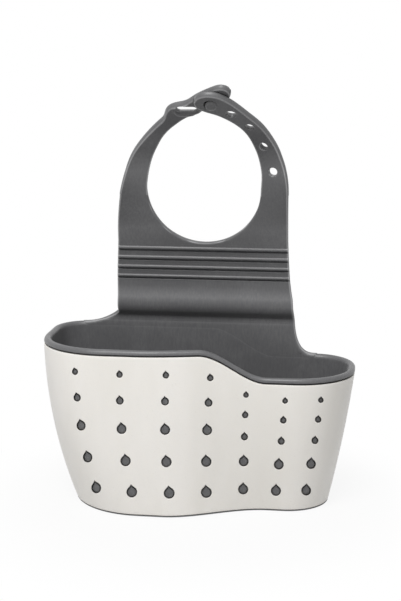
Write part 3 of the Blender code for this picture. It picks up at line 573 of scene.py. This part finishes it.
strap = {
    "thickness": 2.5, "startHeight": 82.0, "startBack": 20.7, "edgeRound": 0.42, "edgePower": 2.1,
    # the columns of a sheet, which stand closer together near its edges, at shares of dense
    "dense": 0.75, "denseAtRoot": 1.7, "neckColumns": 90, "armColumns": 26,
    # degrees forwards from upright, at places along the strap
    "leanAt": (0, 2.52, 5.58, 10.44, 14.58, 18, 29.25, 80, 95, 105),
    "lean": (0, 31, 62, 62, 12.4, -3.72, 11, 11, 29.7, 45),
    # the painted highlight on the front edges: where it starts, how it fades in and out, and where it ends
    "edgeHighlightStart": 0.05, "edgeHighlightIn": 0.3, "edgeHighlightOut": 0.35, "edgeHighlightWidth": 0.85,
    # at the rim the strap is as thick and as round as the lip
    "rootThickness": 3.42, "thinFrom": -1.0, "rootRound": 1.7, "roundTo": 9.0, "rootBlend": 8.0,
    "leftAt": (0, 13, 18.3, 26.5, 31.8, 36.5, 41.8, 46.5),
    "leftEdge": (41.85, 41.6, 41.3, 41.25, 41.0, 40.65, 40.25, 39.92),
    "rightAt": (0, 11.7, 18.3, 23, 27.8, 32.6, 37.8, 43.5, 47.4),
    "rightEdge": (42.65, 42.65, 42.3, 41.5, 40.95, 40.67, 40.4, 40.25, 40.15),
    "ribs": (29.1, 33.82, 38.52, 43.22), "ribHalf": 0.8, "ribRise": 0.72, "ribEnd": 1.3,
    "groove": 0.95, "grooveBelow": 1.12, "grooveHalf": 0.66, "grooveSteep": 1.25,
    "coneDegrees": 20.0, "coneFrom": 50.0, "coneTo": 90.0, "coneAt": 38.0,
    "setBack": ((1.0, 14.5, -5.2), (14.0, 10.0, -1.5), (26.0, 36.0, 3.8), (53.0, 27.0, 7.2)),
    "hinges": (26.875, 31.625, 36.375, 41.125),
    "shoulderLeft": -37.4, "shoulderRight": 40.2, "shoulderFrom": 46.4, "shoulderAt": 72.45,
    "shoulderLimit": 1.3, "ringShift": 1.4, "ringCentre": 72.25, "bore": 26.4, "split": 69.0,
    # width, height, foot and power of the curve that spreads the strap to the rim
    "flareLeft": (18.5, 11.3, -0.7, 2.03), "flareRight": (11.0, 23.0, -13.6, 2.93)}
ringMiddle = np.array([strap["ringShift"], strap["ringCentre"]])

# the profile in small steps, each forwards by the lean's sine and up by its cosine
profileStep = 0.05
alongTable = np.arange(0.0, 200.0, profileStep)
leanTable = np.radians(np.interp(alongTable, strap["leanAt"], strap["lean"]))
backTable = strap["startBack"] - np.concatenate([[0], np.cumsum(np.sin(leanTable[:-1]) * profileStep)])
upTable = strap["startHeight"] + np.concatenate([[0], np.cumsum(np.cos(leanTable[:-1]) * profileStep)])


def coneShift(across, along):
    # buttoned shut, the ring is a shallow cone: out by tan(angle) times the distance from its
    # centre less coneAt, growing by an even S above the neck; setBack adds even S steps, each with
    # its start, its length and its height, which curl the neck and lean the ring out
    away = np.hypot(across - strap["ringShift"], along - strap["ringCentre"])
    grown = evenS((along - strap["coneFrom"]) / (strap["coneTo"] - strap["coneFrom"]))
    steps = sum(height * evenS((along - start) / length) for start, length, height in strap["setBack"])
    return np.tan(radians(strap["coneDegrees"])) * grown * (away - strap["coneAt"]) + steps


def bent(across, along, out):
    # a flat place, moved by out times the shift's slope so that out is square to the shifted face,
    # laid on the profile, which is upright below its start, then shifted along the line of sight
    step = 0.05
    tiltAcross = (coneShift(across + step, along) - coneShift(across - step, along)) / (2 * step)
    tiltAlong = (coneShift(across, along + step) - coneShift(across, along - step)) / (2 * step)
    across, along = across - out * tiltAcross, along - out * tiltAlong
    lean = np.where(along < 0, 0.0, np.interp(along, alongTable, leanTable))
    back = np.where(along < 0, strap["startBack"], np.interp(along, alongTable, backTable))
    up = np.where(along < 0, strap["startHeight"] + along, np.interp(along, alongTable, upTable))
    places = np.stack([across + 0 * back, back - out * np.cos(lean), up - out * np.sin(lean)], -1)
    sight = facing - places
    sight /= np.linalg.norm(sight, axis=-1)[..., None]
    return places + sight * coneShift(across, along)[..., None]


def bendPiece(piece, behind=None):
    # bends a flat piece, whose Z is out; behind gives how far back it lies at a place along
    co = np.zeros(len(piece.data.vertices) * 3)
    piece.data.vertices.foreach_get("co", co)
    flat = co.reshape(-1, 3) / mm
    out = flat[:, 2] - (behind(flat[:, 1]) if behind else 0.0)
    piece.data.vertices.foreach_set("co", (bent(flat[:, 0], flat[:, 1], out) * mm).ravel())
    piece.data.update()


def distanceTo(places, lines):
    # shortest distance from each flat place to any of the edge lines, a block of places at a time
    block = 4000
    best = np.full(len(places), 1e9)
    for line in lines:
        a, d = line[:-1], np.diff(line, axis=0)
        for start in range(0, len(places), block):
            p = places[start:start + block]
            t = np.clip(((p[:, None] - a[None]) * d[None]).sum(-1) / (d * d).sum(-1)[None], 0, 1)
            gap = np.linalg.norm(p[:, None] - a[None] - t[..., None] * d[None], axis=-1).min(1)
            best[start:start + block] = np.minimum(best[start:start + block], gap)
    return best


def edgeShares(width, dense, columns):
    # shares of a row's width, close together near both edges where the sheet is rounded
    near = dense * np.array([0.0, 0.015, 0.06, 0.14, 0.27, 0.45, 0.65, 0.85, 1.1, 1.4])
    middle = np.linspace(near[-1], width - near[-1], columns + 2)[1:-1]
    return np.concatenate([near, middle, (width - near)[::-1]]) / width


def edgeRadius(along):
    # the edge's rounding grows by an even S to half the wall's thickness where the strap meets the rim
    grown = evenS((strap["roundTo"] - along) / strap["rootBlend"])
    return strap["edgeRound"] + (strap["rootRound"] - strap["edgeRound"]) * grown


def rootThickness(along):
    # as thick as the wall below the rim, thinning by an even S to the sheet
    thinned = evenS((along - strap["thinFrom"]) / strap["rootBlend"])
    return strap["rootThickness"] + (strap["thickness"] - strap["rootThickness"]) * thinned


def sheet(name, left, right, edges, columns, dense, cutters, rise, thickness=None, behind=None):
    # rows run from the left line to the right line; the half thickness is
    # (1 - (1 - d/r)^p)^(1/p) of the full one at a distance d from an edge, so the edges are round
    width = np.linalg.norm(right - left, axis=1).mean()
    share = edgeShares(width, dense, columns)
    flat = left[:, None] + (right - left)[:, None] * share[None, :, None]
    rows, columns = flat.shape[:2]
    places = flat.reshape(-1, 2)
    distance = distanceTo(places, edges)
    gap = np.clip(distance / edgeRadius(places[:, 1]), 0, 1)
    full = (1 - (1 - gap) ** strap["edgePower"]) ** (1 / strap["edgePower"])
    thick = thickness(places[:, 1]) if thickness else strap["thickness"]
    back, front = -strap["thickness"] / 2, thick - strap["thickness"] / 2
    middle, half = (front + back) / 2, (front - back) / 2
    lifted = rise(places[:, 0], places[:, 1], gap) if rise else 0.0
    upper = np.column_stack([places, middle + half * full + lifted])
    lower = np.column_stack([places, middle - half * full])
    size = rows * columns
    quads = [gridQuads(rows, columns), gridQuads(rows, columns, False, size)[:, ::-1]]
    loop = np.concatenate([np.arange(columns), np.arange(1, rows) * columns + columns - 1,
                           (rows - 1) * columns + np.arange(columns - 1)[::-1],
                           np.arange(1, rows - 1)[::-1] * columns])
    ahead = np.roll(loop, -1)
    quads.append(np.stack([ahead, loop, loop + size, ahead + size], -1))
    piece = newPiece(name, np.concatenate([upper, lower]), np.concatenate(quads))
    # a painted highlight: a paler line just inside the front edges, kept on the points for the rubber's
    # colour
    edgeHighlight = (evenS((distance - strap["edgeHighlightStart"]) / strap["edgeHighlightIn"])
            * evenS((strap["edgeHighlightWidth"] - distance) / strap["edgeHighlightOut"]))
    line = piece.data.attributes.new("paintedEdgeHighlight", "FLOAT", "POINT")
    line.data.foreach_set("value", np.concatenate([edgeHighlight, 0 * edgeHighlight]))
    tidyMesh(piece, 0.004)
    if cutters:
        cut(piece, cutters)
    bendPiece(piece, behind)
    return piece


def neckSide(side, along):
    # the neck's edge and the flare, width (1 - (1 - down^p)^(1/p)), that spreads it to the rim, blended
    # by the square of the way up into the ring's shoulder
    name = "Left" if side < 0 else "Right"
    half = np.interp(along, strap[name.lower() + "At"], strap[name.lower() + "Edge"])
    width, height, foot, power = strap["flare" + name]
    down = np.clip(1 - (along - foot) / height, 0, 1)
    edge = side * (half + width * (1 - (1 - down ** power) ** (1 / power)))
    rise = (along - strap["shoulderFrom"]) / (strap["shoulderAt"] - strap["shoulderFrom"])
    return edge + (strap["shoulder" + name] - edge) * np.clip(rise, 0, strap["shoulderLimit"]) ** 2


def roundCutter(name, centre, radius, edge, outline=None, slant=(0.0, 0.0)):
    # a round or other plug through the sheet, wider at both faces so that the rim is rounded by edge;
    # it moves by slant for each millimetre of height
    reach = 4.0
    t = strap["thickness"] / 2
    below = np.array([-reach, -t, -t + 0.06, -t + 0.2, -t + edge])
    heights = np.concatenate([below, -below[::-1]])
    grow = mouthGrowth(t - np.abs(heights), edge)
    sides = 128 if radius > 10 else 36  # the bore is drawn finer than the small holes
    rings = outline(grow) if outline else (radius + grow)[:, None, None] * unitRing(sides)
    rings = rings + np.clip(heights, -t, t)[:, None, None] * np.asarray(slant)
    return plugs(name, rings[None], flatFrames([centre]), heights)


def ribRise(across, along, gap):
    # a bead, rise * sqrt(1 - (distance / half)^2), over a groove that is an even S of the distance
    # from its own line, both rounded down at their two ends
    bead, groove = 0 * along, 0 * along
    for rib in strap["ribs"]:
        bead = np.maximum(bead, np.sqrt(np.clip(1 - ((along - rib) / strap["ribHalf"]) ** 2, 0, 1)))
        below = np.abs(along - rib + strap["grooveBelow"]) / strap["grooveHalf"]
        groove = np.maximum(groove, evenS(strap["grooveSteep"] * (1 - below)))
    end = np.minimum(across - neckSide(-1, along), neckSide(1, along) - across)
    ends = np.sqrt(np.clip(1 - (1 - np.clip(end / strap["ribEnd"], 0, 1)) ** 2, 0, 1))
    return (strap["ribRise"] * bead - strap["groove"] * groove) * ends


def neckRows(*stops):
    # rows from each start to its end, the third number apart
    rows = [np.linspace(a, b, max(2, int(round((b - a) / step)) + 1)) for a, b, step in stops]
    return np.unique(np.round(np.concatenate(rows), 4))


def blendAt(piece, across, along, reach):
    # works out the two ends within reach of a hinge line, which nothing uses, and bakes the piece's place
    # into its mesh
    ends = bent(np.array([across, across]), np.array([along - reach, along + reach]), 0.0) * mm
    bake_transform(piece)


def makeNeck():
    # four sheets that meet at the ribs; the root's rows also stand where its flares turn, and the
    # last sheet is the ring's lower half with its bore cut out
    look = {"bottom": -18.6, "ribsFrom": 25.0, "ribsTo": 46.0, "fine": 0.14, "rootStep": 0.6,
            "ringStep": 0.7, "flareRows": 90, "leftFlareRows": 60, "boreRound": 0.7, "reach": 1.1,
            "runOn": 3, "edgePoints": 700}
    ribs, fine = strap["ribs"], look["fine"]
    flares = [foot + height * (1 - np.sin(np.linspace(pi / 2, 0, count)))
              for (height, foot), count in ((strap["flareRight"][1:3], look["flareRows"]),
                                            (strap["flareLeft"][1:3], look["leftFlareRows"]))]
    low = neckRows((look["bottom"], look["ribsFrom"], look["rootStep"]), (look["ribsFrom"], ribs[0], fine))
    low = np.unique(np.round(np.concatenate([low, *flares]), 3))
    low = low[(low >= look["bottom"]) & (low <= ribs[0])]
    high = neckRows((ribs[2], look["ribsTo"], fine), (look["ribsTo"], strap["split"], look["ringStep"]))
    pieces = (("strapRoot", low, "basket", "rib_4", ("inner_liner",)),
              ("ribStripLow", neckRows((ribs[0], ribs[1], fine)), "rib_4", "rib_3", ("neck_rib_4",)),
              ("ribStripMiddle", neckRows((ribs[1], ribs[2], fine)), "rib_3", "rib_2", ("neck_rib_3",)),
              ("ringPlate", high, "rib_2", "ring", ("neck_rib_2", "ring_plate")))
    for hinge, (name, rows, first, second, nodes) in zip(strap["hinges"], pieces):
        left = np.column_stack([neckSide(-1, rows), rows])
        right = np.column_stack([neckSide(1, rows), rows])
        cutters = []
        if name == "ringPlate":
            cutters = [roundCutter("boreCutter", ringMiddle, strap["bore"], look["boreRound"])]
        # the edge lines run on past the rows, so that a sheet isn't rounded where it meets the next
        longer = np.linspace(rows[0] - look["runOn"], rows[-1] + look["runOn"], look["edgePoints"])
        edges = [np.column_stack([neckSide(side, longer), longer]) for side in (-1, 1)]
        dense = strap["denseAtRoot"] if name == "strapRoot" else strap["dense"]
        piece = sheet(name, left, right, edges, strap["neckColumns"], dense, cutters, ribRise, rootThickness)
        finishPiece(piece, rubber)
        blendAt(piece, 0.0, hinge, look["reach"])
        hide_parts(*nodes)
    print("neck and ring made")


makeNeck()

# Arms: an outer and an inner edge line, with rows between them
arms = {
    "leftOuter": ((-38.2, 69.0), (-37.5, 72.3), (-36.0, 78.1), (-34.0, 83.8), (-31.0, 89.7), (-26.5, 95.75),
                  (-22.1, 100.2), (-17.3, 104.4), (-14.9, 106.9), (-13.9, 109.4), (-12.1, 112.3),
                  (-8.5, 114.4), (-4.3, 115.7), (-0.7, 118.6), (3.75, 121.8), (8.1, 124.3), (11.5, 125.5),
                  (14.1, 125.0), (15.7, 123.4), (16.0, 122.4)),
    "leftInner": ((-24.8, 69.0), (-24.95, 72.3), (-24.2, 77.2), (-23.1, 82.0), (-21.4, 87.4), (-18.8, 92.9),
                  (-16.2, 97.1), (-12.1, 101.3), (-9.65, 103.2), (-7.8, 104.6), (-5.0, 106.5),
                  (-1.9, 108.1), (1.3, 109.8), (4.7, 111.9), (8.5, 114.3), (12.1, 116.6), (14.3, 118.1),
                  (15.7, 119.8), (16.0, 121.6), (16.0, 122.4)),
    "rightOuter": ((40.3, 69.0), (40.3, 72.8), (39.8, 79.1), (38.8, 83.6), (37.6, 87.5), (36.2, 91.6),
                   (34.3, 95.8), (31.4, 101.4), (27.8, 107.2), (23.8, 112.2), (18.64, 118.4),
                   (15.0, 121.8), (11.6, 124.0), (7.8, 125.0), (4.1, 124.7), (1.4, 123.2), (0.0, 120.9)),
    "rightInner": ((27.6, 69.0), (27.8, 72.8), (27.9, 79.3), (27.5, 83.0), (26.9, 86.3), (26.0, 89.9),
                   (24.7, 93.6), (22.9, 98.0), (20.2, 102.7), (16.7, 106.8), (12.1, 110.5),
                   (9.1, 112.3), (6.5, 113.4), (3.9, 114.6), (1.8, 116.0), (0.4, 117.9), (0.0, 120.9)),
    "holes": ((16.1, 113.2), (23.7, 104.9), (29.7, 93.7), (33.5, 80.6)), "holeRadii": (2.35, 2.0, 2.1, 2.0),
    "holeFlat": (0.76, 0.76, 0.82, 1.0), "holeSlant": (0.25, 0.32, -0.2, 0.0), "holeEdge": 0.4,
    "stud": (7.7, 118.6), "studRadius": 2.75,
    "studHole": 2.9, "studHoleShift": (-0.4, 0.45), "studHoleEdge": 0.35,
    "slotCentre": (-3.9, 111.75), "slotLong": 8.5, "slotHigh": 2.95, "slotSlant": 0.42, "slotEdge": 0.9,
    "eyeletRise": 0.45, "eyeletAway": 1.1, "eyeletHalf": 1.3,
    "trim": 0.35, "trimLength": 12.0, "behind": 2.85, "crossStart": 92.0, "crossLength": 20.0,
    "leftRows": 260, "rightRows": 320, "foldRow": 96,  # the row that both right pieces share
    "rootAlong": 72.75, "rootLeft": -31.0, "rootRight": 33.0, "rootReach": 3.4,
    "fold": (27.61, 99.9), "foldReach": (-2.4, 4.8)}


def behindRight(along):
    # how far the left arm lies behind the profile, an even S along the strap
    return arms["behind"] * evenS((along - arms["crossStart"]) / arms["crossLength"])


def holeCutter(number):
    # a circle pressed by flat towards the ring's centre, and slanted the same way
    centre = np.array(arms["holes"][number])
    radius, flat = arms["holeRadii"][number], arms["holeFlat"][number]
    radial = centre - ringMiddle
    radial /= np.linalg.norm(radial)
    ring = unitRing(40)
    pressed = ring - (1 - flat) * (ring @ radial)[:, None] * radial
    return roundCutter("holeCutter", centre, radius, arms["holeEdge"],
                       lambda grow: pressed * (radius + grow)[:, None, None],
                       arms["holeSlant"][number] * radial)


def slotRings(grow):
    # a long hole with round ends, one ring for each growth: a circle, its halves moved apart
    radius = arms["slotHigh"] / 2
    ring = unitRing(48)
    apart = (arms["slotLong"] / 2 - radius) * np.sign(ring[:, 0])
    return ring * (radius + grow)[:, None, None] + np.stack([apart, 0 * apart], -1)


def eyeletRise(across, along, gap):
    # a soft raised ring round the slot, an even S of the distance from its own line
    x, y = across - arms["slotCentre"][0], along - arms["slotCentre"][1]
    half = (arms["slotLong"] - arms["slotHigh"]) / 2
    away = np.hypot(x - np.clip(x, -half, half), y) - arms["slotHigh"] / 2
    ring = arms["eyeletRise"] * evenS(1 - np.abs(away - arms["eyeletAway"]) / arms["eyeletHalf"])
    return ring * gap ** 0.5


def trimmed(line, by):
    # moved outwards from the ring's centre by an even S that starts at the arm's root
    radial = line - ringMiddle
    radial /= np.linalg.norm(radial, axis=1)[:, None]
    return line + radial * by * evenS((line[:, 1:] - strap["split"]) / arms["trimLength"])


def armLines(side, count):
    # the arm's two edge lines, each drawn in by trim, which meet at its tip
    outer = trimmed(smoothLine(arms[side + "Outer"], count), -arms["trim"])
    inner = trimmed(smoothLine(arms[side + "Inner"], count), arms["trim"])
    inner[-1] = outer[-1]
    return outer, inner


def makeArm(name, outer, inner, cutters, node, rise=None, behind=None):
    # a sheet between the arm's two edge lines
    piece = sheet(name, outer, inner, [outer, inner], strap["armColumns"], strap["dense"], cutters, rise,
                  behind=behind)
    finishPiece(piece, rubber)
    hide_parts(node)
    return piece


def makeArms():
    # the left arm passes behind the right one, which is two pieces that share a row at the fold
    slotCut = roundCutter("slotCutter", arms["slotCentre"], 0.0, arms["slotEdge"], slotRings,
                          (0.0, arms["slotSlant"]))
    left = makeArm("armLeft", *armLines("left", arms["leftRows"]), [slotCut], "strap_arm_left", eyeletRise,
                   behindRight)
    blendAt(left, arms["rootLeft"], arms["rootAlong"], arms["rootReach"])
    outer, inner = armLines("right", arms["rightRows"])
    row = arms["foldRow"]
    low = makeArm("armRight", outer[:row], inner[:row], [holeCutter(3)], "strap_arm_right")
    blendAt(low, arms["rootRight"], arms["rootAlong"], arms["rootReach"])
    cutters = [holeCutter(number) for number in range(3)]
    cutters.append(roundCutter("studHoleCutter", np.add(arms["stud"], arms["studHoleShift"]),
                               arms["studHole"], arms["studHoleEdge"]))
    tip = makeArm("strapTip", outer[row - 1:], inner[row - 1:], cutters, "strap_tip")
    ends = np.array([arms["fold"]]) + np.array([[-1], [1]]) * arms["foldReach"]
    start, end = bent(ends[:, 0], ends[:, 1], 0.0) * mm
    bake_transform(tip)
    print("arms made")


def makeStud():
    # a round button on a stem, turned: a low dome, radius cos(a)^power and height dome sin(a)
    look = {"foot": 0.6, "stemShare": 0.9, "stemTop": 0.9, "rim": 0.5, "dome": 1.5, "power": 0.8,
            "above": 0.05, "crown": 0.02, "rings": 12, "sides": 48}
    radius, top = arms["studRadius"], strap["thickness"] / 2 + look["above"]
    bottom = strap["thickness"] / 2 - arms["behind"] - look["foot"]
    angle = np.linspace(0, pi / 2, look["rings"])
    radii = np.concatenate([[radius * look["stemShare"]] * 2, radius * np.cos(angle) ** look["power"]])
    radii[-1] = look["crown"]
    heights = np.concatenate([[bottom, top - look["stemTop"]],
                              top - look["rim"] + look["dome"] * np.sin(angle)])
    outline = radii[:, None, None] * unitRing(look["sides"])
    stud = plugs("buttonStud", outline[None], flatFrames([arms["stud"]]), heights)
    bendPiece(stud)
    finishPiece(stud, rubber)
    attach(stud, "arm_left")
    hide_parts("strap_arm_left")
    print("stud made")


makeArms()
makeStud()


# Stage, with places and sizes in metres

def seenDirectly(tree):
    # 1 for rays from the camera, off a shiny face or through a clear one, and 0 for the rest
    path = addNode(tree, "ShaderNodeLightPath")
    direct = addNode(tree, "ShaderNodeMath", {"operation": "MAXIMUM"}, {
        0: path.outputs["Is Camera Ray"], 1: path.outputs["Is Glossy Ray"]})
    seen = addNode(tree, "ShaderNodeMath", {"operation": "MAXIMUM"}, {
        0: direct.outputs[0], 1: path.outputs["Is Transmission Ray"]})
    return seen.outputs[0]


def makeStage():
    # a pale floor and a white world
    look = {"floor": "#d2d2d2", "size": 1.8, "below": 0.0002, "worldLight": 0.36, "nearGlow": 0.9,
            "fadeFrom": 0.06, "fadeTo": 0.13}
    bpy.ops.mesh.primitive_plane_add(size=look["size"], location=(0, 0, -look["below"]))
    floor = bpy.context.object
    floor.name = "paleFloor"
    material, tree, shader = newMaterial("paleFloor", {
        "Base Color": linear(look["floor"]), "Roughness": 0.9, "Specular IOR Level": 0.1})
    # near the basket the floor keeps its shadow, and further out it is the backdrop's white
    place = addNode(tree, "ShaderNodeTexCoord").outputs["Object"]
    away = addNode(tree, "ShaderNodeVectorMath", {"operation": "LENGTH"}, {0: place})
    fade = addNode(tree, "ShaderNodeMapRange", {"interpolation_type": "SMOOTHSTEP"}, {
        "Value": away.outputs["Value"], "From Min": look["fadeFrom"], "From Max": look["fadeTo"],
        "To Min": look["nearGlow"], "To Max": 1.0})
    amount = addNode(tree, "ShaderNodeMath", {"operation": "MULTIPLY"}, {
        0: seenDirectly(tree), 1: fade.outputs["Result"]})
    glow = addNode(tree, "ShaderNodeEmission", {}, {"Color": (1, 1, 1, 1), "Strength": 1.0})
    mix = addNode(tree, "ShaderNodeMixShader", {}, {
        "Fac": amount.outputs[0], 1: shader.outputs["BSDF"], 2: glow.outputs["Emission"]})
    tree.links.new(mix.outputs["Shader"], tree.nodes["Material Output"].inputs["Surface"])
    floor.data.materials.append(material)
    # the world is white where it is seen, and dimmer where it lights
    world = bpy.data.worlds.new("studio")
    bpy.context.scene.world = world
    world.use_nodes = True
    tree = world.node_tree
    background = tree.nodes["Background"]
    strength = addNode(tree, "ShaderNodeMapRange", {}, {
        "Value": seenDirectly(tree), "To Min": look["worldLight"], "To Max": 1.0})
    tree.links.new(strength.outputs["Result"], background.inputs["Strength"])
    background.inputs["Color"].default_value = (1.0, 1.0, 1.0, 1.0)


def addSoftLight(name, place, aim, size, power):
    # a rectangle of light at its place, turned to face its aim
    data = bpy.data.lights.new(name, "AREA")
    data.shape = "RECTANGLE"
    data.size, data.size_y = size
    data.energy = power
    lamp = bpy.data.objects.new(name, data)
    bpy.context.scene.collection.objects.link(lamp)
    lamp.location = place
    lamp.rotation_euler = (Vector(aim) - Vector(place)).to_track_quat("-Z", "Y").to_euler()


makeStage()
addSoftLight("keyBox", (-0.1, -0.62, 0.88), (0, -0.01, 0.09), (0.45, 0.45), 9.6)
addSoftLight("topBox", (0.0, 0.12, 0.95), (0, 0, 0.1), (0.5, 0.35), 0.4)

# the photo's camera, in millimetres and degrees
camera = {"target": (0.5, -3.0, 97.0), "azimuth": 8.0, "elevation": 10.8, "distance": 600.0,
          "focalPixels": 1295.0, "framePixels": 601}
azimuth, elevation = radians(camera["azimuth"]), radians(camera["elevation"])
back = Vector((np.sin(azimuth) * np.cos(elevation), -np.cos(azimuth) * np.cos(elevation), np.sin(elevation)))
cameraData = bpy.data.cameras.new("camera")
cameraData.sensor_width = 36.0
cameraData.lens = camera["focalPixels"] / camera["framePixels"] * cameraData.sensor_width
cameraObject = bpy.data.objects.new("camera", cameraData)
bpy.context.scene.collection.objects.link(cameraObject)
cameraObject.location = (Vector(camera["target"]) + back * camera["distance"]) * mm
cameraObject.rotation_euler = (-back).to_track_quat("-Z", "Y").to_euler()
bpy.context.scene.camera = cameraObject
bpy.context.scene.view_settings.view_transform = "Standard"
print("stage, lights and camera made")
